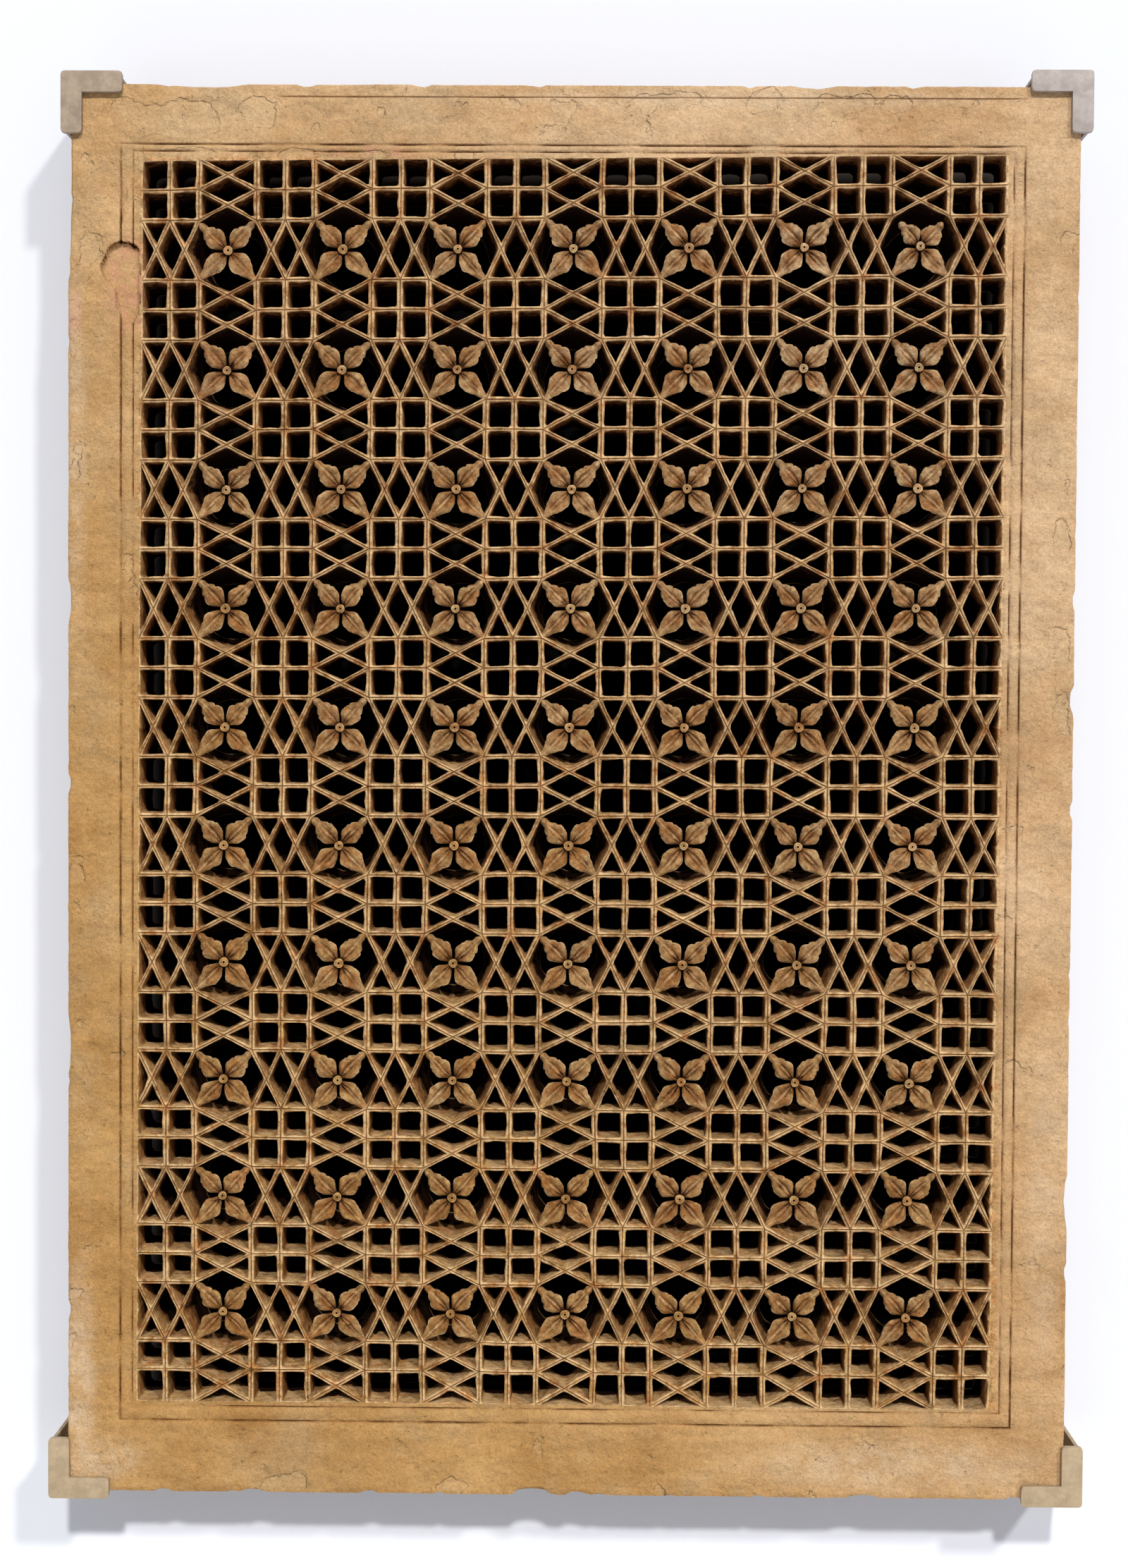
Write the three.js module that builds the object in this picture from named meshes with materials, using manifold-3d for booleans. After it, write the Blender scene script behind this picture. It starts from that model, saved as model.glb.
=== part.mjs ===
// Carved fretwork grille: a pierced sandstone slab held off a wall by four corner clips.
// Millimetres, +Z up. The wall is the plane y = 0, the front faces -Y, and the origin is on
// the wall behind the middle of the slab.
import * as THREE from 'three';
import { mergeGeometries, mergeVertices } from 'three/addons/utils/BufferGeometryUtils.js';
import Module from 'manifold-3d';

const wasm = await Module();
wasm.setup();

// Slab
const SLAB_THICKNESS = 89;
const STANDOFF = 52;
const MARGIN_LEFT = 93;
const MARGIN_RIGHT = 94;
const MARGIN_TOP = 94.5;
const MARGIN_BOTTOM = 122;

// Fret: square blocks of two by two units, laid like a chessboard of four kinds
const UNIT_WIDTH = 37.2;
const UNIT_HEIGHT = 38.4;
const BLOCK_COLUMNS = 15;
const BLOCK_ROWS = 21;
const VERTICAL_BAR = 8;
const HORIZONTAL_BAR = 6.5;
const DIAGONAL_BAR = 6;
const BORDER_LEDGE = { left: 2.5, right: 4, top: 1.5, bottom: 0.8 };

// Flowers: thin four-pointed plates across the front of the star-shaped cells
const PETAL_THICKNESS = 14;
const STAR_POINT = 1.5;
const PETAL_LEDGE = 1.2;
const FLOWER_HEART = 0.5;
const PETAL_TIP_WIDTH = 7;

// Moulding round the field
const FIELD_RECESS = 1.5;
const GROOVE_WIDTH = 2.5;
const GROOVE_DEPTH = 2.5;
const INNER_GROOVE = { left: 8, right: 8, top: 8, bottom: 8 };
const OUTER_GROOVE = { left: 24, right: 22, top: 17, bottom: 27 };
const RIM_GROOVE_DROP = 17;
const RIM_GROOVE_LEFT = 275;
const RIM_GROOVE_RIGHT = 72;

// Damage: the broken notch in the left moulding, the flaked top and the chipped bottom edge
const NOTCH_WIDTH = 41;
const NOTCH_HEIGHT = 106;
const NOTCH_DEPTH = 9;
const NOTCH_DROP = 262;
const NOTCH_INSET = 68;
const FLAKE_WIDTH = 92;
const FLAKE_HEIGHT = 34;
const FLAKE_DEPTH = 3;
const FLAKE_DROP = 40;
const FLAKE_INSET = 180;
const CHIP_WIDTH = 48;
const CHIP_HEIGHT = 11;
const CHIP_DEPTH = 16;
const CHIP_INSET = 606;
const PATCH_CORNERS = 9;

// Corner clips
const CLIP_ARM_LENGTH = 79;
const CLIP_ARM_WIDTH = 27;
const CLIP_LIP = 8;
const CLIP_FLANGE = 6;
const CLIP_PAD = 6;
const CLIP_CORNER_RADIUS = 5;
const TOP_LEFT_REACH = 6.5;
const TOP_LEFT_RISE = 13;
const TOP_RIGHT_REACH = 12.5;
const TOP_RIGHT_RISE = 18;
const BOTTOM_LEFT_REACH = 23;
const BOTTOM_LEFT_DROP = 6.5;
const BOTTOM_RIGHT_REACH = 21.5;
const BOTTOM_RIGHT_DROP = 5;
const CLEARANCE = 0.3;

// Places worked out from the sizes above
const BLOCK_UNITS = 2;
const FIELD_WIDTH = BLOCK_COLUMNS * BLOCK_UNITS * UNIT_WIDTH;
const FIELD_HEIGHT = BLOCK_ROWS * BLOCK_UNITS * UNIT_HEIGHT;
const SLAB_WIDTH = MARGIN_LEFT + FIELD_WIDTH + MARGIN_RIGHT;
const SLAB_HEIGHT = MARGIN_TOP + FIELD_HEIGHT + MARGIN_BOTTOM;
const SLAB_LEFT = -SLAB_WIDTH / 2;
const SLAB_RIGHT = SLAB_WIDTH / 2;
const SLAB_TOP = SLAB_HEIGHT / 2;
const SLAB_BOTTOM = -SLAB_HEIGHT / 2;
const SLAB_BACK = -STANDOFF;
const SLAB_FRONT = SLAB_BACK - SLAB_THICKNESS;
const FIELD_LEFT = SLAB_LEFT + MARGIN_LEFT;
const FIELD_RIGHT = FIELD_LEFT + FIELD_WIDTH;
const FIELD_TOP = SLAB_TOP - MARGIN_TOP;
const FIELD_BOTTOM = FIELD_TOP - FIELD_HEIGHT;
const FIELD_FRONT = SLAB_FRONT + FIELD_RECESS;
const OVERCUT = 1;

const stone = new THREE.MeshStandardMaterial({ color: 0xc4a074, roughness: 0.92, metalness: 0 });
const paint = new THREE.MeshStandardMaterial({ color: 0x9d9282, roughness: 0.6, metalness: 0.1 });

// A prism with its outline in the x-z plane, from y = back forward to y = front
function prism(outline, back, front) {
  const shape = new THREE.Shape(outline.map(([x, z]) => new THREE.Vector2(x, z)));
  const geometry = new THREE.ExtrudeGeometry(shape, { depth: back - front, bevelEnabled: false });
  geometry.rotateX(Math.PI / 2);
  geometry.translate(0, back, 0);
  return geometry;
}

function rectangle(left, right, bottom, top) {
  return [[left, bottom], [right, bottom], [right, top], [left, top]];
}

// One solid from geometries that don't touch each other
function toSolid(...geometries) {
  const bare = geometries.map((geometry) => {
    const copy = geometry.index ? geometry.toNonIndexed() : geometry.clone();
    copy.deleteAttribute('normal');
    copy.deleteAttribute('uv');
    return copy;
  });
  const merged = mergeVertices(mergeGeometries(bare));
  return new wasm.Manifold(new wasm.Mesh({
    numProp: 3,
    vertProperties: new Float32Array(merged.attributes.position.array),
    triVerts: new Uint32Array(merged.index.array),
  }));
}

function toMesh(solid, name, material) {
  const result = solid.getMesh();
  const geometry = new THREE.BufferGeometry();
  geometry.setAttribute('position', new THREE.BufferAttribute(result.vertProperties, 3));
  geometry.setIndex(new THREE.BufferAttribute(result.triVerts, 1));
  const mesh = new THREE.Mesh(geometry, material);
  mesh.name = name;
  return mesh;
}

// Four squares of a grid block. Those along the field's border reach almost to its edge.
function gridOpenings(blockColumn, blockRow) {
  const openings = [];
  const columns = BLOCK_COLUMNS * BLOCK_UNITS;
  const rows = BLOCK_ROWS * BLOCK_UNITS;
  for (let column = blockColumn * BLOCK_UNITS; column < (blockColumn + 1) * BLOCK_UNITS; column += 1) {
    for (let row = blockRow * BLOCK_UNITS; row < (blockRow + 1) * BLOCK_UNITS; row += 1) {
      const left = column === 0 ? BORDER_LEDGE.left : VERTICAL_BAR / 2;
      const right = column === columns - 1 ? BORDER_LEDGE.right : VERTICAL_BAR / 2;
      const bottom = row === 0 ? BORDER_LEDGE.bottom : HORIZONTAL_BAR / 2;
      const top = row === rows - 1 ? BORDER_LEDGE.top : HORIZONTAL_BAR / 2;
      openings.push(rectangle(
        FIELD_LEFT + column * UNIT_WIDTH + left,
        FIELD_LEFT + (column + 1) * UNIT_WIDTH - right,
        FIELD_BOTTOM + row * UNIT_HEIGHT + bottom,
        FIELD_BOTTOM + (row + 1) * UNIT_HEIGHT - top,
      ));
    }
  }
  return openings;
}

// The diamond between two crosses, drawn in by half a diagonal bar on every side
function diamondOpening(x, z, halfWidth, halfHeight) {
  const side = Math.hypot(halfWidth, halfHeight);
  const width = halfWidth - (DIAGONAL_BAR / 2) * (side / halfHeight);
  const height = halfHeight - (DIAGONAL_BAR / 2) * (side / halfWidth);
  return [[x - width, z], [x, z - height], [x + width, z], [x, z + height]];
}

// The eight-pointed outline of a flower cell, drawn in by an inset on every side
function starOutline(x, z, inset) {
  const corner = 1 - (inset * 2) / (UNIT_WIDTH + UNIT_HEIGHT);
  const point = STAR_POINT - (inset * 2 * Math.hypot(1, STAR_POINT - 1)) / (UNIT_WIDTH + UNIT_HEIGHT);
  const turns = [[1, 0], [1, 1], [0, 1], [-1, 1], [-1, 0], [-1, -1], [0, -1], [1, -1]];
  return turns.map(([across, up]) => {
    const reach = across * up === 0 ? point : corner;
    return [x + across * reach * UNIT_WIDTH, z + up * reach * UNIT_HEIGHT];
  });
}

// The kite-shaped gap between two petals, for each of the four sides of a flower
function petalGaps(x, z) {
  const inset = DIAGONAL_BAR / 2 + PETAL_LEDGE;
  const unit = (UNIT_WIDTH + UNIT_HEIGHT) / 2;
  const tip = STAR_POINT - (inset / unit) * Math.hypot(1, STAR_POINT - 1);
  const across = 1 - (PETAL_TIP_WIDTH + inset) / unit;
  const along = tip - across * (STAR_POINT - 1);
  const kite = [[tip, 0], [along, across], [FLOWER_HEART, 0], [along, -across]];
  const gaps = [];
  for (let quarter = 0; quarter < 4; quarter += 1) {
    const cosine = Math.round(Math.cos(quarter * Math.PI / 2));
    const sine = Math.round(Math.sin(quarter * Math.PI / 2));
    gaps.push(kite.map(([u, v]) => [
      x + (u * cosine - v * sine) * UNIT_WIDTH,
      z + (u * sine + v * cosine) * UNIT_HEIGHT,
    ]));
  }
  return gaps;
}

// Every opening of the fret, as prisms that run past both faces they cut
function fretCutters() {
  const through = [];
  const cellsBehind = [];
  const gapsInFront = [];
  const front = SLAB_FRONT - OVERCUT;
  const back = SLAB_BACK + OVERCUT;
  const petalBack = FIELD_FRONT + PETAL_THICKNESS;
  for (let column = 0; column < BLOCK_COLUMNS; column += 1) {
    for (let row = 0; row < BLOCK_ROWS; row += 1) {
      const left = FIELD_LEFT + column * BLOCK_UNITS * UNIT_WIDTH;
      const bottom = FIELD_BOTTOM + row * BLOCK_UNITS * UNIT_HEIGHT;
      const middleX = left + UNIT_WIDTH;
      const middleZ = bottom + UNIT_HEIGHT;
      const oddColumn = column % 2 === 1;
      const oddRow = row % 2 === 1;
      if (oddColumn && oddRow) {
        cellsBehind.push(prism(starOutline(middleX, middleZ, DIAGONAL_BAR / 2), back, petalBack));
        for (const gap of petalGaps(middleX, middleZ)) {
          gapsInFront.push(prism(gap, petalBack + OVERCUT, front));
        }
      } else if (oddColumn) {
        through.push(prism(diamondOpening(middleX, middleZ, UNIT_WIDTH, UNIT_HEIGHT / 2), back, front));
      } else if (oddRow) {
        through.push(prism(diamondOpening(middleX, middleZ, UNIT_WIDTH / 2, UNIT_HEIGHT), back, front));
      } else {
        through.push(...gridOpenings(column, row).map((opening) => prism(opening, back, front)));
      }
    }
  }
  return [toSolid(...through, ...cellsBehind), toSolid(...gapsInFront)];
}

// A rectangle round the field, at its own distance outside each side, and grown evenly by more
function fieldRectangle(offsets, more) {
  return rectangle(
    FIELD_LEFT - offsets.left - more,
    FIELD_RIGHT + offsets.right + more,
    FIELD_BOTTOM - offsets.bottom - more,
    FIELD_TOP + offsets.top + more,
  );
}

// The mitred groove that runs round the field at its own distance from each side
function ringGroove(offsets, surface) {
  const deep = surface + GROOVE_DEPTH;
  const outer = prism(fieldRectangle(offsets, GROOVE_WIDTH / 2), deep, surface - OVERCUT);
  const inner = prism(fieldRectangle(offsets, -GROOVE_WIDTH / 2), deep + OVERCUT, surface - 2 * OVERCUT);
  return toSolid(outer).subtract(toSolid(inner));
}

// The long groove under the top edge
function rimGroove() {
  const middle = SLAB_TOP - RIM_GROOVE_DROP;
  const outline = rectangle(
    SLAB_LEFT + RIM_GROOVE_LEFT,
    SLAB_RIGHT - RIM_GROOVE_RIGHT,
    middle - GROOVE_WIDTH / 2,
    middle + GROOVE_WIDTH / 2,
  );
  return toSolid(prism(outline, SLAB_FRONT + GROOVE_DEPTH, SLAB_FRONT - OVERCUT));
}

// A broken patch with an uneven outline, cut from the front to its depth. Its phase in radians turns
// the unevenness, so that no two patches look alike.
function brokenPatch(x, z, width, height, depth, phase) {
  const outline = [];
  for (let corner = 0; corner < PATCH_CORNERS; corner += 1) {
    const turn = (corner / PATCH_CORNERS) * 2 * Math.PI;
    const reach = 0.5 * (0.92 + 0.14 * Math.sin(3 * turn + phase) + 0.1 * Math.cos(2 * turn + phase));
    outline.push([x + width * reach * Math.cos(turn), z + height * reach * Math.sin(turn)]);
  }
  return toSolid(prism(outline, SLAB_FRONT + depth, SLAB_FRONT - OVERCUT));
}

function damage() {
  const notch = brokenPatch(
    SLAB_LEFT + NOTCH_INSET, SLAB_TOP - NOTCH_DROP, NOTCH_WIDTH, NOTCH_HEIGHT, NOTCH_DEPTH, 1,
  );
  const flake = brokenPatch(
    SLAB_LEFT + FLAKE_INSET, SLAB_TOP - FLAKE_DROP, FLAKE_WIDTH, FLAKE_HEIGHT, FLAKE_DEPTH, 2,
  );
  const chip = brokenPatch(
    SLAB_LEFT + CHIP_INSET, SLAB_BOTTOM, CHIP_WIDTH, 2 * CHIP_HEIGHT, CHIP_DEPTH, 3,
  );
  return [notch, flake, chip];
}

function carvedSlab() {
  const block = rectangle(SLAB_LEFT, SLAB_RIGHT, SLAB_BOTTOM, SLAB_TOP);
  let slab = toSolid(prism(block, SLAB_BACK, SLAB_FRONT));
  const recess = prism(fieldRectangle(OUTER_GROOVE, 0), FIELD_FRONT, SLAB_FRONT - OVERCUT);
  slab = slab.subtract(toSolid(recess));
  slab = slab.subtract(ringGroove(OUTER_GROOVE, FIELD_FRONT));
  slab = slab.subtract(ringGroove(INNER_GROOVE, FIELD_FRONT));
  slab = slab.subtract(rimGroove());
  for (const patch of damage()) {
    slab = slab.subtract(patch);
  }
  for (const cutter of fretCutters()) {
    slab = slab.subtract(cutter);
  }
  return slab;
}

// The carved slab in two lengths, parted at the bars across the middle of the field
function slabHalves() {
  const slab = carvedSlab();
  const middle = (FIELD_BOTTOM + FIELD_TOP) / 2;
  const halves = [
    ['fret_slab_upper', middle + CLEARANCE / 2, SLAB_TOP + OVERCUT],
    ['fret_slab_lower', SLAB_BOTTOM - OVERCUT, middle - CLEARANCE / 2],
  ];
  return halves.map(([name, bottom, top]) => {
    const outline = rectangle(SLAB_LEFT - OVERCUT, SLAB_RIGHT + OVERCUT, bottom, top);
    const half = slab.intersect(toSolid(prism(outline, SLAB_BACK + OVERCUT, SLAB_FRONT - OVERCUT)));
    return toMesh(half, name, stone);
  });
}

// An L with its outer corner at the origin and its arms along +x and +z
function ellOutline(armLength, acrossWidth, upWidth, radius) {
  const corners = [
    [0, 0, 1], [armLength, 0, 1], [armLength, upWidth, 1],
    [acrossWidth, upWidth, 0], [acrossWidth, armLength, 1], [0, armLength, 1],
  ];
  const outline = [];
  corners.forEach(([x, z, rounded], index) => {
    if (!rounded || radius === 0) {
      outline.push([x, z]);
      return;
    }
    const before = corners[(index + corners.length - 1) % corners.length];
    const after = corners[(index + 1) % corners.length];
    const start = [x + Math.sign(before[0] - x) * radius, z + Math.sign(before[1] - z) * radius];
    const end = [x + Math.sign(after[0] - x) * radius, z + Math.sign(after[1] - z) * radius];
    const curve = new THREE.QuadraticBezierCurve(
      new THREE.Vector2(...start), new THREE.Vector2(x, z), new THREE.Vector2(...end),
    );
    outline.push(...curve.getPoints(2).map((point) => [point.x, point.y]));
  });
  return outline;
}

// A clip: a front lip, flanges along its two outer edges back to the wall, and a pad on the wall.
// across and up are +1 or -1, the way its arms point; seat is the flange width under or over the slab.
function clip(name, cornerX, cornerZ, across, up, seat) {
  const place = (outline) => {
    const placed = outline.map(([x, z]) => [cornerX + across * x, cornerZ + up * z]);
    return across * up < 0 ? placed.reverse() : placed;
  };
  const lipOutline = ellOutline(CLIP_ARM_LENGTH, CLIP_ARM_WIDTH, CLIP_ARM_WIDTH, CLIP_CORNER_RADIUS);
  const flangeOutline = ellOutline(CLIP_ARM_LENGTH - CLIP_CORNER_RADIUS, CLIP_FLANGE, seat, 0);
  const inner = CLIP_CORNER_RADIUS / 4;
  const shifted = flangeOutline.map(([x, z]) => [Math.max(x, inner), Math.max(z, inner)]);
  const lipBack = SLAB_FRONT - CLEARANCE;
  const lip = toSolid(prism(place(lipOutline), lipBack, lipBack - CLIP_LIP));
  const flange = toSolid(prism(place(shifted), -CLIP_PAD / 2, lipBack - CLIP_LIP / 2));
  const pad = toSolid(prism(place(lipOutline), 0, -CLIP_PAD));
  return toMesh(lip.add(flange).add(pad), name, paint);
}

function clips() {
  return [
    clip(
      'clip_top_left',
      SLAB_LEFT - TOP_LEFT_REACH,
      SLAB_TOP + TOP_LEFT_RISE,
      1, -1, CLIP_FLANGE,
    ),
    clip(
      'clip_top_right',
      SLAB_RIGHT + TOP_RIGHT_REACH,
      SLAB_TOP + TOP_RIGHT_RISE,
      -1, -1, CLIP_FLANGE,
    ),
    clip(
      'clip_bottom_left',
      SLAB_LEFT - BOTTOM_LEFT_REACH,
      SLAB_BOTTOM - BOTTOM_LEFT_DROP,
      1, 1, BOTTOM_LEFT_DROP - CLEARANCE,
    ),
    clip(
      'clip_bottom_right',
      SLAB_RIGHT + BOTTOM_RIGHT_REACH,
      SLAB_BOTTOM - BOTTOM_RIGHT_DROP,
      -1, 1, BOTTOM_RIGHT_DROP - CLEARANCE,
    ),
  ];
}

const grille = new THREE.Group();
grille.add(...slabHalves(), ...clips());

export default grille;
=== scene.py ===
"""Dresses the carved fretwork grille: the pierced slab, its flowers and its four clips.

Metres, +Z up. The wall is the plane y = 0 and the grille faces -Y.
"""
import math
import random

import bmesh
import bpy
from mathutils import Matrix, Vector, noise


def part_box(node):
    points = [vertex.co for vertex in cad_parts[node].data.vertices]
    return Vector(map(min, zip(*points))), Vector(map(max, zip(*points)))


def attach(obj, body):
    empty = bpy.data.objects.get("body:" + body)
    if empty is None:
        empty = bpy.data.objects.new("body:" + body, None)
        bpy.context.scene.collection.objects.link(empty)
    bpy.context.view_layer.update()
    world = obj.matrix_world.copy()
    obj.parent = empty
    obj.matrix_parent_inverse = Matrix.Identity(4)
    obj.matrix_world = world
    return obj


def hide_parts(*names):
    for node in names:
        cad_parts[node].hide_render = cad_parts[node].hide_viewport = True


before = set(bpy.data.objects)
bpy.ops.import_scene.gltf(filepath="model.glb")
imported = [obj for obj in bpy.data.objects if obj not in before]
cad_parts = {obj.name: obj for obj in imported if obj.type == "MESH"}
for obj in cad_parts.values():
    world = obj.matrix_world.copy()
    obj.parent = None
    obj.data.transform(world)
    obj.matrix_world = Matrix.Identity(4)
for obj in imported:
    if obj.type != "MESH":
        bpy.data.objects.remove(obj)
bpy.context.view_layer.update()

MM = 0.001
random.seed(7)

# The slab, from the frame
SLAB_NODES = ("fret_slab_upper", "fret_slab_lower")
UPPER_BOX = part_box("fret_slab_upper")
LOWER_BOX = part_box("fret_slab_lower")
LEFT, RIGHT = LOWER_BOX[0].x, LOWER_BOX[1].x
BOTTOM, TOP = LOWER_BOX[0].z, UPPER_BOX[1].z
FRONT, BACK = LOWER_BOX[0].y, LOWER_BOX[1].y

# The fret: blocks of two by two units
UNIT_WIDTH = 37.2 * MM
UNIT_HEIGHT = 38.4 * MM
COLUMNS = 15
ROWS = 21
MARGIN_LEFT = 93 * MM
MARGIN_BOTTOM = 122 * MM
FIELD_LEFT = LEFT + MARGIN_LEFT
FIELD_BOTTOM = BOTTOM + MARGIN_BOTTOM
FIELD_WIDTH = COLUMNS * 2 * UNIT_WIDTH
FIELD_HEIGHT = ROWS * 2 * UNIT_HEIGHT
FIELD_RIGHT = FIELD_LEFT + FIELD_WIDTH
FIELD_TOP = FIELD_BOTTOM + FIELD_HEIGHT
FIELD_FRONT = FRONT + 1.5 * MM

# Bars, by the way they run, as half widths
HALF_VERTICAL = 3.8 * MM
HALF_HORIZONTAL = 3.0 * MM
HALF_DIAGONAL = 2.7 * MM
BORDER_LEDGE = {"left": 1.8 * MM, "right": 3.6 * MM, "top": 1.5 * MM, "bottom": 0.6 * MM}
LIP = 1.5 * MM
LIP_RISE = 0.1 * MM
GROOVE = 2.8 * MM
EDGE_DROP = 1.7 * MM
CORNER_ROUNDING = 1.1 * MM

# How far the bars' edges stray, over what length, and where along an edge there are points
WOBBLE = 1.9 * MM
WOBBLE_LENGTH = 9 * MM
SLOW_WOBBLE = 0.4 * WOBBLE
SLOW_WOBBLE_LENGTH = 40 * MM
STEPS = (0.0, 0.13, 0.5, 0.87)

# Rear of the openings, as shares of their front
REAR_TAPER = 0.93
REAR_ROUNDNESS = 1.3
REAR_INSET = 1.0 * MM
STAR_REAR = 1.0
STAR_REAR_LIMIT = 0.97
STAR_REAR_UNEVEN = 0.035


def smooth(low, high, value):
    """0 below low, 1 above high and an even curve between."""
    t = min(max((value - low) / (high - low), 0.0), 1.0)
    return t * t * (3 - 2 * t)


def rough(x, z, scale, seed=0.0):
    """Noise between -1 and 1 at a place on the slab's face, with features of about scale metres."""
    return noise.noise(Vector((x / scale, z / scale, seed)))


# The cells of the fret, as corners in units

def block_cells(column, row):
    """Every opening of one block: its kind and its corners in units, counterclockwise."""
    x = 2 * column
    z = 2 * row
    odd_column = column % 2 == 1
    odd_row = row % 2 == 1
    if odd_column and odd_row:
        star = [(0, 0), (1, -0.5), (2, 0), (2.5, 1), (2, 2), (1, 2.5), (0, 2), (-0.5, 1)]
        cells = [("star", star)]
    elif odd_column:
        cells = [
            ("triangle", [(0, 0), (1, 0.5), (0, 1)]),
            ("triangle", [(2, 0), (2, 1), (1, 0.5)]),
            ("triangle", [(0, 1), (1, 1.5), (0, 2)]),
            ("triangle", [(2, 1), (2, 2), (1, 1.5)]),
            ("diamond", [(0, 1), (1, 0.5), (2, 1), (1, 1.5)]),
        ]
        if row == 0:
            cells.append(("triangle", [(0, 0), (1, 0), (2, 0), (1, 0.5)]))
        if row == ROWS - 1:
            cells.append(("triangle", [(0, 2), (1, 1.5), (2, 2), (1, 2)]))
    elif odd_row:
        cells = [
            ("triangle", [(0, 0), (1, 0), (0.5, 1)]),
            ("triangle", [(1, 0), (2, 0), (1.5, 1)]),
            ("triangle", [(0, 2), (0.5, 1), (1, 2)]),
            ("triangle", [(1, 2), (1.5, 1), (2, 2)]),
            ("diamond", [(1, 0), (1.5, 1), (1, 2), (0.5, 1)]),
        ]
        if column == 0:
            cells.append(("triangle", [(0, 0), (0.5, 1), (0, 2), (0, 1)]))
        if column == COLUMNS - 1:
            cells.append(("triangle", [(2, 0), (2, 1), (2, 2), (1.5, 1)]))
    else:
        cells = []
        for across in (0, 1):
            for up in (0, 1):
                square = [(0, 0), (1, 0), (1, 1), (0, 1)]
                cells.append(("square", [(across + a, up + b) for a, b in square]))
    return [(kind, [(x + a, z + b) for a, b in corners]) for kind, corners in cells]


def place(corner):
    """A point in units, in metres on the slab's face."""
    return Vector((FIELD_LEFT + corner[0] * UNIT_WIDTH, FIELD_BOTTOM + corner[1] * UNIT_HEIGHT))


def border_side(a, b):
    """The side of the field that an edge in units lies along, or None inside the field."""
    if a[0] == b[0] == 0:
        return "left"
    if a[0] == b[0] == 2 * COLUMNS:
        return "right"
    if a[1] == b[1] == 0:
        return "bottom"
    if a[1] == b[1] == 2 * ROWS:
        return "top"
    return None


def half_bar(a, b):
    side = border_side(a, b)
    if side:
        return BORDER_LEDGE[side]
    if abs(a[0] - b[0]) < 0.01:
        return HALF_VERTICAL
    if abs(a[1] - b[1]) < 0.01:
        return HALF_HORIZONTAL
    return HALF_DIAGONAL


def lip_inset(a, b):
    side = border_side(a, b)
    return min(LIP, 0.5 * BORDER_LEDGE[side]) if side else LIP


def inset_ring(corners, inset_of):
    """Points round a cell drawn in from its edges, at STEPS along each edge."""
    count = len(corners)
    lines = []
    for k in range(count):
        a = place(corners[k])
        b = place(corners[(k + 1) % count])
        along = (b - a).normalized()
        inward = Vector((-along.y, along.x))
        inset = inset_of(corners[k], corners[(k + 1) % count])
        lines.append((a + inward * inset, along, inward))
    meets = []
    for k in range(count):
        p, d, _ = lines[k - 1]
        q, e, _ = lines[k]
        cross = d.x * e.y - d.y * e.x
        if abs(cross) < 1e-6:
            meets.append(q.copy())
        else:
            offset = q - p
            meets.append(p + d * ((offset.x * e.y - offset.y * e.x) / cross))
    ring = []
    for k in range(count):
        a = meets[k]
        b = meets[(k + 1) % count]
        ring.extend((a + (b - a) * step, lines[k][2]) for step in STEPS)
    return ring


def cell_rings(kind, corners):
    """The rings of one opening, from the bar's middle line to its rear edge."""
    middle = [p for p, _ in inset_ring(corners, lambda a, b: 0.0)]
    lip = [p for p, _ in inset_ring(corners, lip_inset)]
    outline = inset_ring(corners, half_bar)
    centre = Vector((0, 0))
    for corner in corners:
        centre += place(corner) / len(corners)
    edge = []
    for index, (point, inward) in enumerate(outline):
        shift = WOBBLE * rough(point.x, point.y, WOBBLE_LENGTH, 3.0)
        shift += SLOW_WOBBLE * rough(point.x, point.y, SLOW_WOBBLE_LENGTH, 5.0)
        point = point + inward * shift
        if index % len(STEPS) == 0:
            point = point + (centre - point).normalized() * CORNER_ROUNDING
        edge.append(point)
    inradius = min((p - centre).length for p in edge)
    rear = []
    for point in edge:
        arm = point - centre
        if kind == "star":
            turn = math.atan2(arm.y, arm.x)
            reach = STAR_REAR * (UNIT_WIDTH + UNIT_HEIGHT) / 2
            reach *= 1 + STAR_REAR_UNEVEN * math.sin(4 * turn + centre.x * 60)
            arm = arm.normalized() * min(reach, arm.length * STAR_REAR_LIMIT)
        else:
            arm = arm.normalized() * min(arm.length * REAR_TAPER, inradius * REAR_ROUNDNESS)
        rear.append(centre + arm)
    return middle, lip, edge, rear


# Wear, as soft oval spots on the slab: the middle's x and z, half sizes and strength

PALE_SPOTS = [
    (-0.637, -0.78, 0.026, 0.19, 0.5),
    (-0.60, -0.87, 0.05, 0.03, 0.5),
    (0.43, -0.87, 0.2, 0.04, 0.4),
    (0.62, -0.55, 0.025, 0.25, 0.3),
    (-0.64, 0.45, 0.015, 0.3, 0.35),
    (0.2, 0.897, 0.4, 0.012, 0.35),
]
FLAKED_SPOTS = [
    (-0.42, 0.872, 0.22, 0.036, 1.0),
    (-0.60, 0.72, 0.05, 0.16, 0.9),
    (0.25, 0.892, 0.45, 0.018, 1.0),
    (-0.30, -0.9, 0.22, 0.014, 0.5),
    (0.632, 0.2, 0.016, 0.5, 0.6),
    (-0.637, 0.1, 0.014, 0.6, 0.6),
    (-0.35, 0.825, 0.3, 0.01, 1.1),
]
ROSY_SPOTS = [
    (-0.573, 0.655, 0.03, 0.07, 0.9),
    (-0.26, 0.825, 0.06, 0.012, 0.8),
    (-0.45, 0.60, 0.10, 0.16, 0.2),
    (-0.645, 0.62, 0.012, 0.05, 0.8),
]

# Painted light, lighter and pinker to the upper right: its share in the slab's middle, and more for
# each metre to the right and up
FRAME_LIGHT_SLOPE = (0.47, 0.85, 0.55)
FRET_LIGHT_SLOPE = (0.3, 0.4, 0.6)


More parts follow.
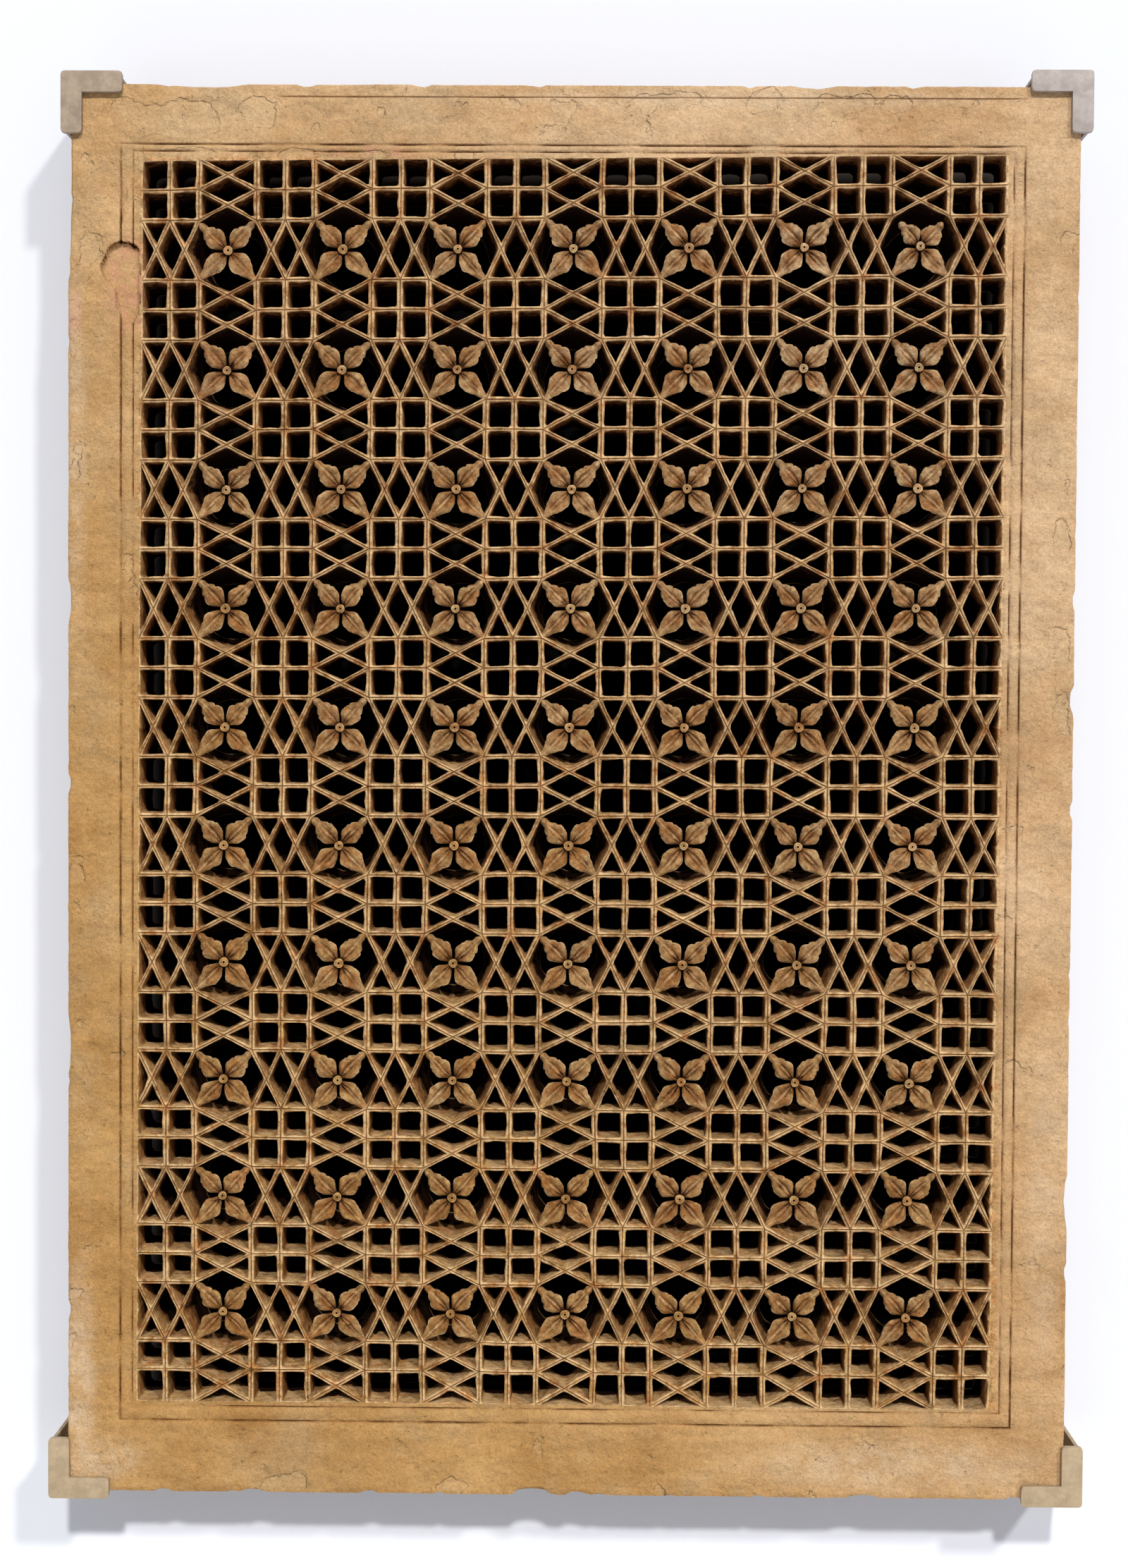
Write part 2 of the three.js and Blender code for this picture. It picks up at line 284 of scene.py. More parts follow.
def spots(x, z, places):
    """The strongest of some soft oval spots at a place."""
    return max(
        strength * (1 - smooth(0.35, 1.25, math.hypot((x - u) / half_width, (z - v) / half_height)))
        for u, v, half_width, half_height, strength in places
    )


def carving(x, z):
    """1 in the fret and 0 on the frame."""
    inside = min(x - FIELD_LEFT, FIELD_RIGHT - x, z - FIELD_BOTTOM, FIELD_TOP - z)
    return smooth(-4 * MM, 3 * MM, inside)


def lit_up_right_share(x, z):
    """Painted light: the stone is golden low on the left and lighter and pinker high on the right, less
    so in the fret.
    """
    patchy = 0.15 * rough(x, z, 200 * MM, 81.0)
    on_frame, in_fret = (
        middle + rightward * x + upward * z + patchy
        for middle, rightward, upward in (FRAME_LIGHT_SLOPE, FRET_LIGHT_SLOPE)
    )
    share = carving(x, z)
    return min(max(on_frame + (in_fret - on_frame) * share, 0.0), 1.0)


# The mesh that the slab grows in

class Builder:
    """Vertices and faces, with each vertex's grime and painted shade, its rubbed wear and painted
    highlight, and whether it lines a hole.
    """

    def __init__(self):
        self.points = []
        self.grime_and_shade = []
        self.rubbed_and_lit = []
        self.hollow = []
        self.faces = []
        self.shared = {}

    def vertex(self, x, y, z, grime_and_shade=0.0, rubbed_and_lit=0.0, hollow=0.0):
        self.points.append((x, y, z))
        self.grime_and_shade.append(grime_and_shade)
        self.rubbed_and_lit.append(rubbed_and_lit)
        self.hollow.append(hollow)
        return len(self.points) - 1

    def shared_vertex(self, x, y, z, grime_and_shade, layer):
        key = (layer, round(x * 1e5), round(z * 1e5))
        if key not in self.shared:
            self.shared[key] = self.vertex(x, y, z, grime_and_shade)
        return self.shared[key]

    def strip(self, outer, inner, flip=False):
        """Quads between two closed rings of equal length."""
        count = len(outer)
        for k in range(count):
            after = (k + 1) % count
            face = (outer[k], outer[after], inner[after], inner[k])
            self.faces.append(face[::-1] if flip else face)

    def finish(self, name, angle):
        mesh = bpy.data.meshes.new(name)
        mesh.from_pydata(self.points, [], self.faces)
        mesh.validate()
        worn = {
            "grime_and_shade": self.grime_and_shade,
            "rubbed_and_lit": self.rubbed_and_lit,
            "hollow": self.hollow,
            "lit_up_right": [lit_up_right_share(x, z) for x, _, z in self.points],
            "carved": [carving(x, z) for x, _, z in self.points],
            "pale": [spots(x, z, PALE_SPOTS) for x, _, z in self.points],
            "flaked": [spots(x, z, FLAKED_SPOTS) for x, _, z in self.points],
            "rosy": [spots(x, z, ROSY_SPOTS) for x, _, z in self.points],
        }
        for label, values in worn.items():
            mesh.attributes.new(label, "FLOAT", "POINT").data.foreach_set("value", values)
        mesh.shade_smooth()
        mesh.set_sharp_from_angle(angle=math.radians(angle))
        piece = bpy.data.objects.new(name, mesh)
        bpy.context.collection.objects.link(piece)
        return piece


def on_border(point):
    tolerance = 0.1 * MM
    return (
        point.x < FIELD_LEFT + tolerance
        or point.x > FIELD_RIGHT - tolerance
        or point.y < FIELD_BOTTOM + tolerance
        or point.y > FIELD_TOP - tolerance
    )


# Grime and painted shade inside an opening: everywhere, more painted shade under an overhang and on an
# upright wall
EDGE_GRIME_AND_SHADE = (0.18, 0.36, 0.14)
REAR_GRIME_AND_SHADE = (0.3, 0.5, 0.5)
# Painted shade added on the walls of the star cells
STAR_SHADE = 0.12
# Painted shade in the groove down each bar's middle
GROOVE_SHADE = 0.4
BACK_GRIME = 0.3
# Painted light: how much paler the floors of the openings are painted where they face up
FLOOR_LIGHT = 0.4


def lattice_face(x, z):
    """How far the lattice's face lies behind the field's plane at a place."""
    return (0.7 + 0.6 * rough(x, z, 150 * MM, 11.0) + 0.35 * rough(x, z, 21 * MM, 12.0)) * MM


def add_cell(build, kind, corners):
    middle, lip, edge, rear = cell_rings(kind, corners)
    front_middle = []
    rear_middle = []
    for point in middle:
        sink = 0.0 if on_border(point) else GROOVE
        y = FIELD_FRONT + lattice_face(point.x, point.y) + sink
        # Painted shade in the groove down the bar's middle
        grime_and_shade = 0.0 if on_border(point) else GROOVE_SHADE
        front_middle.append(build.shared_vertex(point.x, y, point.y, grime_and_shade, 0))
        rear_middle.append(build.shared_vertex(point.x, BACK, point.y, BACK_GRIME, 1))
    # Painted highlight along the bars' lips, with their rubbed wear
    ring_lip = [
        build.vertex(p.x, FIELD_FRONT + lattice_face(p.x, p.y) - LIP_RISE, p.y, 0.0, 1.0) for p in lip
    ]
    # Painted shade: the walls of the star cells are painted darker
    painted_shade = STAR_SHADE if kind == "star" else 0.0
    ring_edge = []
    ring_rear = []
    for index, point in enumerate(edge):
        run = edge[(index + 1) % len(edge)] - edge[index - 1]
        facing = -run.x / max(run.length, 1e-9)
        overhead = max(0.0, facing)
        upright = 1 - abs(facing)
        at_edge, at_rear = (
            painted_shade + everywhere + above * overhead + beside * upright
            for everywhere, above, beside in (EDGE_GRIME_AND_SHADE, REAR_GRIME_AND_SHADE)
        )
        # Painted light: floors that face up are painted paler, as lit from above
        lit_floor = FLOOR_LIGHT * max(0.0, -facing)
        y = FIELD_FRONT + lattice_face(point.x, point.y) + EDGE_DROP
        ring_edge.append(build.vertex(point.x, y, point.y, at_edge, lit_floor, 1.0))
        behind = rear[index]
        ring_rear.append(build.vertex(behind.x, BACK - REAR_INSET, behind.y, at_rear, lit_floor, 1.0))
    build.strip(front_middle, ring_lip)
    build.strip(ring_lip, ring_edge)
    build.strip(ring_edge, ring_rear)
    build.strip(ring_rear, rear_middle)


# The frame round the fret

# Points along a unit of the frame's rings, and which of them meet the points at STEPS
FRAME_STEPS = 5
SPREAD = (0, 1, 2, 4, FRAME_STEPS)

INNER_GROOVE = 8 * MM
OUTER_GROOVE = {"left": 24 * MM, "right": 22 * MM, "top": 17 * MM, "bottom": 27 * MM}
NOTCH_DEPTH = 9.5 * MM
RIM_DROP = 17 * MM
RIM_LEFT = LEFT + 275 * MM
RIM_RIGHT = RIGHT - 72 * MM
RIM_GROOVE = 3.6 * MM
RIM_HALF_WIDTH = 1.4 * MM
# Painted shade in the groove under the slab's top edge
RIM_SHADE = 0.5
SKIN_DEPTH = 6 * MM

# Rings of the moulding near its two grooves: how far out from the groove and how deep, both in
# millimetres, and grime with painted shade, darkest in the grooves
NEAR_INNER = [(-1.2, 0.3, 0.25), (0.0, 2.9, 0.60), (1.5, 0.4, 0.28), (3.0, -0.7, 0.08)]
NEAR_OUTER = [
    (-3.2, -0.5, 0.14), (-1.5, 0.4, 0.3), (0.0, 3.2, 0.62), (1.5, -1.2, 0.18), (2.8, -1.7, 0.0),
]
BAND_RISE = 1.0 * MM
# How much darker the band between the moulding's grooves is painted
BAND_DARKENING = 0.17

# Rings down the slab's edge: depth, darkening, which grows toward the back, and how much of the edge's
# wear they take
EDGE_RINGS = [
    (1.2 * MM, 0.0, 1.0),
    (7 * MM, 0.1, 0.7),
    (30 * MM, 0.15, 0.5),
    (BACK - FRONT - 2 * MM, 0.25, 0.8),
]
BACK_BEVEL = 3 * MM


def border_points():
    """The field's outline in units, counterclockwise, one corner for each unit of length."""
    across = 2 * COLUMNS
    up = 2 * ROWS
    corners = [(k, 0) for k in range(across)] + [(across, k) for k in range(up)]
    corners += [(across - k, up) for k in range(across)] + [(0, up - k) for k in range(up)]
    return corners


def moulding_rings():
    """Rings of the moulding: their distance out from a side of the field, depth and grime."""
    field = FIELD_FRONT - FRONT
    rings = [
        (lambda side: 0.35 * INNER_GROOVE, field, 0.0),
        (lambda side: 0.75 * INNER_GROOVE, field, 0.0),
    ]
    for offset, depth, grime_and_shade in NEAR_INNER:
        rings.append((lambda side, d=offset: INNER_GROOVE + d * MM, field + depth * MM, grime_and_shade))
    rings.append((
        lambda side: 0.5 * (INNER_GROOVE + OUTER_GROOVE[side]), field - BAND_RISE, BAND_DARKENING,
    ))
    for offset, depth, grime_and_shade in NEAR_OUTER:
        rings.append((lambda side, d=offset: OUTER_GROOVE[side] + d * MM, field + depth * MM, grime_and_shade))
    return rings


def chip(along, centre, width, depth):
    """A chip out of an edge: how deep it bites at a place along it."""
    reach = abs(along - centre) / (width / 2)
    if reach >= 1:
        return 0.0
    return depth * (1 - reach ** 2) ** 0.5


# Breaks in the frame's face, as ovals: the middle right and down from the slab's top left corner, and
# half sizes. Flakes also have their depth in millimetres, and finer places the cuts across each face.
NOTCH_OVALS = [(0.073, 0.235, 0.028, 0.031), (0.080, 0.262, 0.0185, 0.045)]
# Heights between which the painted shadow on the notch's edge fades in, toward its top
NOTCH_SHADE_FROM = TOP - 270 * MM
NOTCH_SHADE_TO = TOP - 220 * MM
NOTCH_GRIME = 0.08
TOP_FLAKES = [
    (0.176, 0.036, 0.044, 0.017, 2.2),
    (0.306, 0.040, 0.030, 0.014, 1.5),
    (0.060, 0.150, 0.016, 0.030, 1.2),
]
SPLIT_FINER = [
    (0.070, 0.255, 0.0265, 0.056, 2),
    (0.176, 0.036, 0.050, 0.020, 1),
    (0.306, 0.040, 0.036, 0.017, 1),
]
BREAK_REACH = 8 * MM

# Chips along each edge: the middle along it, width and depth
EDGE_CHIPS = {
    "bottom": [
        (-0.043, 0.052, 0.010), (0.015, 0.026, 0.005), (-0.41, 0.03, 0.004), (0.39, 0.04, 0.004),
    ],
    "top": [(-0.47, 0.09, 0.004), (0.31, 0.05, 0.003)],
    "left": [(0.25, 0.05, 0.004), (-0.33, 0.07, 0.003), (0.80, 0.24, 0.005)],
    "right": [(0.13, 0.035, 0.006), (-0.52, 0.06, 0.004)],
}


def edge_bite(side, along):
    """How far the worn outer edge lies inside the slab's true outline."""
    fine = 0.8 * (1 + rough(along, 0, 13 * MM, 21.0 + len(side)))
    broad = 0.5 * (1 + rough(along, 0, 90 * MM, 31.0 + len(side)))
    nicks = 3.0 * smooth(0.22, 0.5, rough(along, 0, 30 * MM, 26.0 + len(side)))
    bite = (0.1 + fine + broad + nicks) * MM
    return bite + sum(chip(along, *chipped) for chipped in EDGE_CHIPS[side])


def oval(x, z, right, down, half_width, half_height):
    """1 on the edge of an oval whose middle is given from the slab's top left corner."""
    return math.hypot((x - LEFT - right) / half_width, (z - TOP + down) / half_height)


def crevice(value, width):
    """1 where a value is 1, falling to 0 within a width of it on both sides."""
    return max(0.0, 1 - abs(value - 1) / width)


def broken_back(x, z):
    """The depth of lost skin at a place, whether it is in the notch, and the painted shade in their
    edges.
    """
    ragged = 0.12 * rough(x, z, 16 * MM, 43.0) + 0.05 * rough(x, z, 5 * MM, 44.0)
    notch = min(oval(x, z, *outline) for outline in NOTCH_OVALS) + ragged
    in_notch = 1 - smooth(0.9, 1.02, notch)
    # Painted shadow: a dark arc along the notch's upper edge
    dirt_and_shade = 0.8 * crevice(notch, 0.09) * smooth(NOTCH_SHADE_FROM, NOTCH_SHADE_TO, z)
    depth = 0.0
    for right, down, half_width, half_height, flaked in TOP_FLAKES:
        skin = oval(x, z, right, down, half_width, half_height) + 2.2 * ragged
        depth += flaked * MM * (1 - smooth(0.95, 1.03, skin))
        # Painted shade: dark lines round the flaked skin
        dirt_and_shade = max(dirt_and_shade, 0.3 * crevice(skin, 0.06))
    return depth, in_notch, dirt_and_shade


def under_rim(x, z):
    """1 in the groove that runs under the slab's top edge, fading where it has worn away."""
    away = abs(TOP - RIM_DROP - z) / RIM_HALF_WIDTH
    if x < RIM_LEFT or x > RIM_RIGHT or away > 1:
        return 0.0
    return (1 - away) * (0.65 + 0.35 * rough(x, z, 60 * MM, 55.0))


def frame_sink(x, z):
    """How far the frame's face has worn back at a place."""
    sink = (0.9 + 0.8 * rough(x, z, 90 * MM, 41.0) + 0.55 * rough(x, z, 20 * MM, 42.0)) * MM
    return sink + RIM_GROOVE * under_rim(x, z)


def add_frame(build):
    """The frame: rings from the lattice out over the moulding, down the edge and in over the back."""
    corners = border_points()
    count = len(corners)
    margins = {
        "left": FIELD_LEFT - LEFT,
        "right": RIGHT - FIELD_RIGHT,
        "bottom": FIELD_BOTTOM - BOTTOM,
        "top": TOP - FIELD_TOP,
    }

    def side_of(index):
        if index < 2 * COLUMNS:
            return "bottom"
        if index < 2 * (COLUMNS + ROWS):
            return "right"
        if index < 2 * (2 * COLUMNS + ROWS):
            return "top"
        return "left"

    def ring_places(offset_of):
        """Points on the rectangle whose sides lie offset_of(side) out from the field."""
        low_x = FIELD_LEFT - offset_of("left")
        high_x = FIELD_RIGHT + offset_of("right")
        low_z = FIELD_BOTTOM - offset_of("bottom")
        high_z = FIELD_TOP + offset_of("top")
        places = []
        for index in range(count):
            a = place(corners[index])
            b = place(corners[(index + 1) % count])
            for step in range(FRAME_STEPS):
                p = a + (b - a) * (step / FRAME_STEPS)
                x = low_x + (p.x - FIELD_LEFT) / FIELD_WIDTH * (high_x - low_x)
                z = low_z + (p.y - FIELD_BOTTOM) / FIELD_HEIGHT * (high_z - low_z)
                places.append((x, z, side_of(index)))
        return places

    def add_ring(offset_of, depth, grime_and_shade, bitten=0.0):
        ring = []
        for x, z, side in ring_places(offset_of):
            if bitten:
                along = x if side in ("top", "bottom") else z
                inward = bitten * edge_bite(side, along)
                if side == "bottom":
                    z += inward
                elif side == "top":
                    z -= inward
                elif side == "left":
                    x += inward
                else:
                    x -= inward
            cut = 1.0
            if grime_and_shade > 0.3:
                cut = 0.45 + 0.55 * smooth(-0.35, 0.25, rough(x, z, 55 * MM, 51.0))
            y = FRONT + depth * cut + frame_sink(x, z) if depth < SKIN_DEPTH else FRONT + depth
            # Grime and painted shade, with painted shade in the groove under the top edge
            ring.append(build.vertex(x, min(y, BACK), z, grime_and_shade * cut + RIM_SHADE * under_rim(x, z)))
        return ring

    def lattice_line(y_of, grime_and_shade, layer):
        """The lattice's own points along the field's outline."""
        line = []
        for index in range(count):
            a = place(corners[index])
            b = place(corners[(index + 1) % count])
            for step in STEPS:
                p = a + (b - a) * step
                line.append(build.shared_vertex(p.x, y_of(p), p.y, grime_and_shade, layer))
        return line

    def join(line, ring, flip):
        """Faces between the lattice's points and a ring, whose points are spaced otherwise."""
        for unit in range(count):
            for part in range(len(STEPS)):
                here = unit * len(STEPS) + part
                ahead = (here + 1) % len(line)
                begin = unit * FRAME_STEPS + SPREAD[part]
                end = unit * FRAME_STEPS + SPREAD[part + 1]
                outer = [ring[k % len(ring)] for k in range(begin, end + 1)]
                face = tuple(outer) + (line[ahead], line[here])
                build.faces.append(face[::-1] if flip else face)

    first = lattice_line(lambda p: FIELD_FRONT + lattice_face(p.x, p.y), 0.0, 0)
    rings = []
    for offset_of, depth, grime_and_shade in moulding_rings():
        rings.append(add_ring(offset_of, depth, grime_and_shade))
    face_width = {side: margins[side] - OUTER_GROOVE[side] - 2.6 * MM for side in margins}
    rim = 1 - RIM_DROP / face_width["top"]
    step = RIM_HALF_WIDTH / face_width["top"]
    spans = [rim * k / 8 for k in range(1, 8)] + [rim - step, rim, rim + step, 0.84, 0.91, 0.965]
    for share in spans:
        rings.append(add_ring(
            lambda side, s=share: margins[side] - face_width[side] * (1 - s), 0.0, 0.0,
            smooth(0.85, 1.0, share),
        ))
    for depth, grime_and_shade, worn in EDGE_RINGS:
        rings.append(add_ring(lambda side: margins[side], depth, grime_and_shade, worn))
    rings.append(add_ring(lambda side: margins[side] - BACK_BEVEL, BACK - FRONT, BACK_GRIME))

    join(first, rings[0], False)
    for inner, outer in zip(rings, rings[1:]):
        build.strip(outer, inner)
    last = lattice_line(lambda p: BACK, BACK_GRIME, 1)
    join(last, rings[-1], True)


# How the lattice strays from true, in millimetres at the ends of the field
ROWS_SHIFT = -0.9
COLUMNS_SHIFT = 0.3
ROWS_RISE = 2.5
TOP_ROWS_RISE = 3.3
ROWS_BOW = 2.6
COLUMNS_LEAN = 1.2
COLUMNS_BOW = 1.2
BOTTOM_ROW_DROP = 4.0


def hand_cut(x, z):
    """The drift of the hand-laid lattice at a place, gone at the moulding's inner groove."""
    across = 2 * (x - FIELD_LEFT) / FIELD_WIDTH - 1
    up = 2 * (z - FIELD_BOTTOM) / FIELD_HEIGHT - 1
    outside = max(FIELD_LEFT - x, x - FIELD_RIGHT, FIELD_BOTTOM - z, z - FIELD_TOP, 0.0)
    fade = max(0.0, 1 - outside / (INNER_GROOVE - 0.9 * MM))
    dx = COLUMNS_SHIFT + COLUMNS_LEAN * up * (1 + 1.5 * across ** 2)
    dx -= COLUMNS_BOW * (across ** 2 + across * up ** 2)
    dz = ROWS_SHIFT + (ROWS_RISE + TOP_ROWS_RISE * up) * across + ROWS_BOW * up ** 2
    dz -= BOTTOM_ROW_DROP * smooth(-0.953, -1.0, up)
    dx += 0.9 * rough(x, z, 120 * MM, 61.0) + 0.6 * rough(x, z, 45 * MM, 62.0)
    dz += 0.9 * rough(x, z, 120 * MM, 63.0) + 0.6 * rough(x, z, 45 * MM, 64.0)
    return dx * fade * MM, dz * fade * MM


def warped(points):
    moved = []
    for x, y, z in points:
        dx, dz = hand_cut(x, z)
        moved.append((x + dx, y, z + dz))
    return moved


# Faces that meet at more degrees than this have a sharp edge
SLAB_SHARP = 38
FLOWERS_SHARP = 50
CLIP_SHARP = 40


def break_face(piece):
    """Splits the frame's face finer where it has broken, and pushes it back there."""
    form = bmesh.new()
    form.from_mesh(piece.data)
    for right, down, half_width, half_height, cuts in SPLIT_FINER:
        edges = set()
        for face in form.faces:
            middle = face.calc_center_median()
            beside = abs(middle.x - LEFT - right)
            below = abs(middle.z - TOP + down)
            near = beside < half_width and below < half_height
            if near and middle.y < FRONT + BREAK_REACH and len(face.edges) == 4:
                edges.update(face.edges)
        bmesh.ops.subdivide_edges(form, edges=list(edges), cuts=cuts, use_grid_fill=True)
    grime_and_shade = form.verts.layers.float["grime_and_shade"]
    for vertex in form.verts:
        x, y, z = vertex.co
        if y < FRONT + BREAK_REACH and carving(x, z) < 0.5:
            depth, in_notch, dirt_and_shade = broken_back(x, z)
            bottom = FRONT + NOTCH_DEPTH + 1.4 * MM * rough(x, z, 14 * MM, 45.0)
            vertex.co.y = (1 - in_notch) * (y + depth) + in_notch * max(bottom, y)
            vertex[grime_and_shade] = (1 - in_notch) * vertex[grime_and_shade] + NOTCH_GRIME * in_notch + dirt_and_shade
    form.to_mesh(piece.data)
    form.free()
    piece.data.set_sharp_from_angle(angle=math.radians(SLAB_SHARP))


def make_slab():
    build = Builder()
    for column in range(COLUMNS):
        for row in range(ROWS):
            for kind, corners in block_cells(column, row):
                add_cell(build, kind, corners)
    add_frame(build)
    build.points = warped(build.points)
    slab = build.finish("carved_slab", SLAB_SHARP)
    break_face(slab)
    return slab


# The flowers

PETAL_ROWS = 20
PETAL_COLUMNS = 10
PETAL_START = 5 * MM
PETAL_BACK = 8 * MM
PETAL_DROP = 4.6 * MM
PETAL_BACK_SHARE = 0.8
LOBED_UNTIL = 0.8
LOBE_SIZE = 0.8 * MM
KNOB_RADIUS = 4.6 * MM
KNOB_HEIGHT = 3.0 * MM
PETAL_WAVE = 1.0 * MM
PETAL_SWING = 0.045
UPPER_SHORTER = 3.4 * MM
LOWER_SHORTER = 1.6 * MM
BROKEN_OFF = 9 * MM
BOSS_RADIUS = 6.2 * MM
BOSS_SIDES = 16
# Half widths of a petal in millimetres at shares of its length
UPPER_PROFILE = [
    (0.0, 2.6), (0.1, 6.6), (0.2, 10.6), (0.31, 13.0), (0.42, 13.2), (0.5, 12.2), (0.55, 9.8),
    (0.61, 10.4), (0.68, 8.4), (0.74, 5.2), (0.81, 4.9), (0.9, 5.0), (1.0, 2.0),
]
LOWER_PROFILE = [
    (0.0, 2.6), (0.1, 6.8), (0.2, 10.8), (0.31, 13.2), (0.42, 13.3), (0.52, 12.0), (0.57, 9.8),
    (0.63, 9.9), (0.71, 7.4), (0.8, 5.6), (0.9, 4.4), (1.0, 3.2),
]


def from_profile(profile, share):
    """The half width of a petal in millimetres at a share of its length."""
    for (a, low), (b, high) in zip(profile, profile[1:]):
        if share <= b:
            return low + (high - low) * (share - a) / (b - a)
    return profile[-1][1]


def petal_height(share, across, fold, worn):
    """How far a petal's face stands proud: two swelling lobes with a raised rib between them."""
    rise = smooth(0.0, 0.16, share)
    lobed = rise * (1 - smooth(0.55, 0.8, share))
    side = (abs(across) - 0.56) / 0.5
    lobe = max(0.0, 1 - side ** 2) ** 0.5
    rib = math.exp(-(across / 0.13) ** 2)
    tip = 1 - lobed
    crease = math.exp(-((abs(across) - 0.2) / 0.12) ** 2)
    crease *= 1 + 0.6 * math.sin(9 * share + 3 * fold + across)
    keep = 1.0 - 0.7 * worn
    height = lobed * (1.0 + 4.0 * lobe + 1.2 * math.sin(5 * across + fold))
    height += tip * rise * 3.4 * max(0.0, 1 - across ** 2) ** 0.5
    height += keep * lobed * (2.6 * rib - 2.4 * crease)
    height -= 2.5 * (1 - smooth(0.0, 0.35, share))
    return height * MM


def add_petal(build, centre, angle, length, profile, knob, rng, worn):
    """One petal along an angle, as a blade with a carved face, a rim and a flat back."""
    along = Vector((math.cos(angle), math.sin(angle)))
    beside = Vector((-along.y, along.x))
    width = rng.uniform(0.92, 1.08)
    fold = rng.uniform(-0.9, 0.9)
    lobes = [rng.uniform(0, 6.3), rng.uniform(0, 6.3)]
    bend = rng.uniform(-1.2, 1.2) * MM
    tilt = rng.uniform(-0.8, 0.8) * MM
    front = FIELD_FRONT + PETAL_DROP
    keen = 1 - 0.8 * worn
    face = []
    back_left = []
    back_right = []
    for row in range(PETAL_ROWS + 1):
        share = row / PETAL_ROWS
        reach = PETAL_START + (length - PETAL_START) * share
        half = from_profile(profile, share) * MM * (width if share < LOBED_UNTIL else 1.0)
        line = []
        for column in range(PETAL_COLUMNS + 1):
            across = 2 * column / PETAL_COLUMNS - 1
            lobe = 0.0
            if share < LOBED_UNTIL:
                phase = lobes[0] if across < 0 else lobes[1]
                lobe = (1 - 0.6 * worn) * LOBE_SIZE * math.sin(17 * share + phase)
                lobe *= math.sin(math.pi * share / LOBED_UNTIL)
            offset = across * (half + lobe * abs(across)) + bend * math.sin(math.pi * share)
            point = centre + along * reach + beside * offset
            height = petal_height(share, across, fold, worn) + tilt * across
            if knob:
                ball = math.hypot(reach - (length - KNOB_RADIUS), across * half) / KNOB_RADIUS
                height += KNOB_HEIGHT * max(0.0, 1 - ball ** 2) ** 0.5
            height += PETAL_WAVE * rough(point.x, point.y, 7 * MM, 71.0)
            crease = math.exp(-((abs(across) - 0.2) / 0.1) ** 2) * (1 - smooth(0.5, 0.75, share))
            # Grime and painted shade: a darker tone all over, with painted shade in the creases and
            # near the heart
            grime_and_shade = 0.33 + 0.16 * crease + 0.2 * (1 - smooth(0.0, 0.3, share))
            # Rubbed wear with a painted highlight along the rims and the rib, less on worn petals
            rubbed_and_lit = 0.8 * max(across ** 8, math.exp(-(across / 0.12) ** 2) * keen)
            line.append(build.vertex(point.x, front - height, point.y, grime_and_shade, rubbed_and_lit))
        face.append(line)
        for side, store in ((-1, back_left), (1, back_right)):
            offset = side * half * PETAL_BACK_SHARE + bend * math.sin(math.pi * share)
            point = centre + along * reach + beside * offset
            # Painted shade on the petal's back, where it lies in shadow
            store.append(build.vertex(point.x, front + PETAL_BACK, point.y, 1.0))
    for row in range(PETAL_ROWS):
        here, ahead = face[row], face[row + 1]
        left, left_ahead = back_left[row], back_left[row + 1]
        right, right_ahead = back_right[row], back_right[row + 1]
        for column in range(PETAL_COLUMNS):
            build.faces.append((ahead[column], ahead[column + 1], here[column + 1], here[column]))
        build.faces.append((left, left_ahead, ahead[0], here[0]))
        build.faces.append((ahead[-1], right_ahead, right, here[-1]))
        build.faces.append((right, right_ahead, left_ahead, left))
    build.faces.append(tuple(face[0]) + (back_right[0], back_left[0]))
    build.faces.append((tuple(face[-1]) + (back_right[-1], back_left[-1]))[::-1])


def add_boss(build, centre, rng):
    """The round boss in a flower's heart, with its turned ring and small drilled dot."""
    # Share of the radius, depth and grime with painted shade of each ring, darkest down the boss's side
    # and in the dot
    rings = [
        (1.0, PETAL_BACK + 3.6 * MM, 1.0), (1.0, 2.2 * MM, 0.5), (0.92, 0.6 * MM, 0.0),
        (0.72, 0.1 * MM, 0.0), (0.55, 0.5 * MM, 0.3), (0.38, 0.0, 0.0), (0.24, 0.3 * MM, 0.3),
        (0.14, 2.6 * MM, 1.0),
    ]
    radius = BOSS_RADIUS * rng.uniform(0.92, 1.06)
    made = []
    for share, depth, grime_and_shade in rings:
        ring = []
        for side in range(BOSS_SIDES):
            turn = 2 * math.pi * side / BOSS_SIDES
            reach = radius * share * (1 + 0.04 * math.sin(3 * turn + centre.x * 90))
            x = centre.x + reach * math.cos(turn)
            z = centre.y + reach * math.sin(turn)
            ring.append(build.vertex(x, FIELD_FRONT + depth + 0.4 * MM, z, 0.15 + 0.85 * grime_and_shade))
        made.append(ring)
    for outer, inner in zip(made, made[1:]):
        build.strip(outer, inner)
    build.faces.append(tuple(made[-1]))
    build.faces.append(tuple(made[0][::-1]))


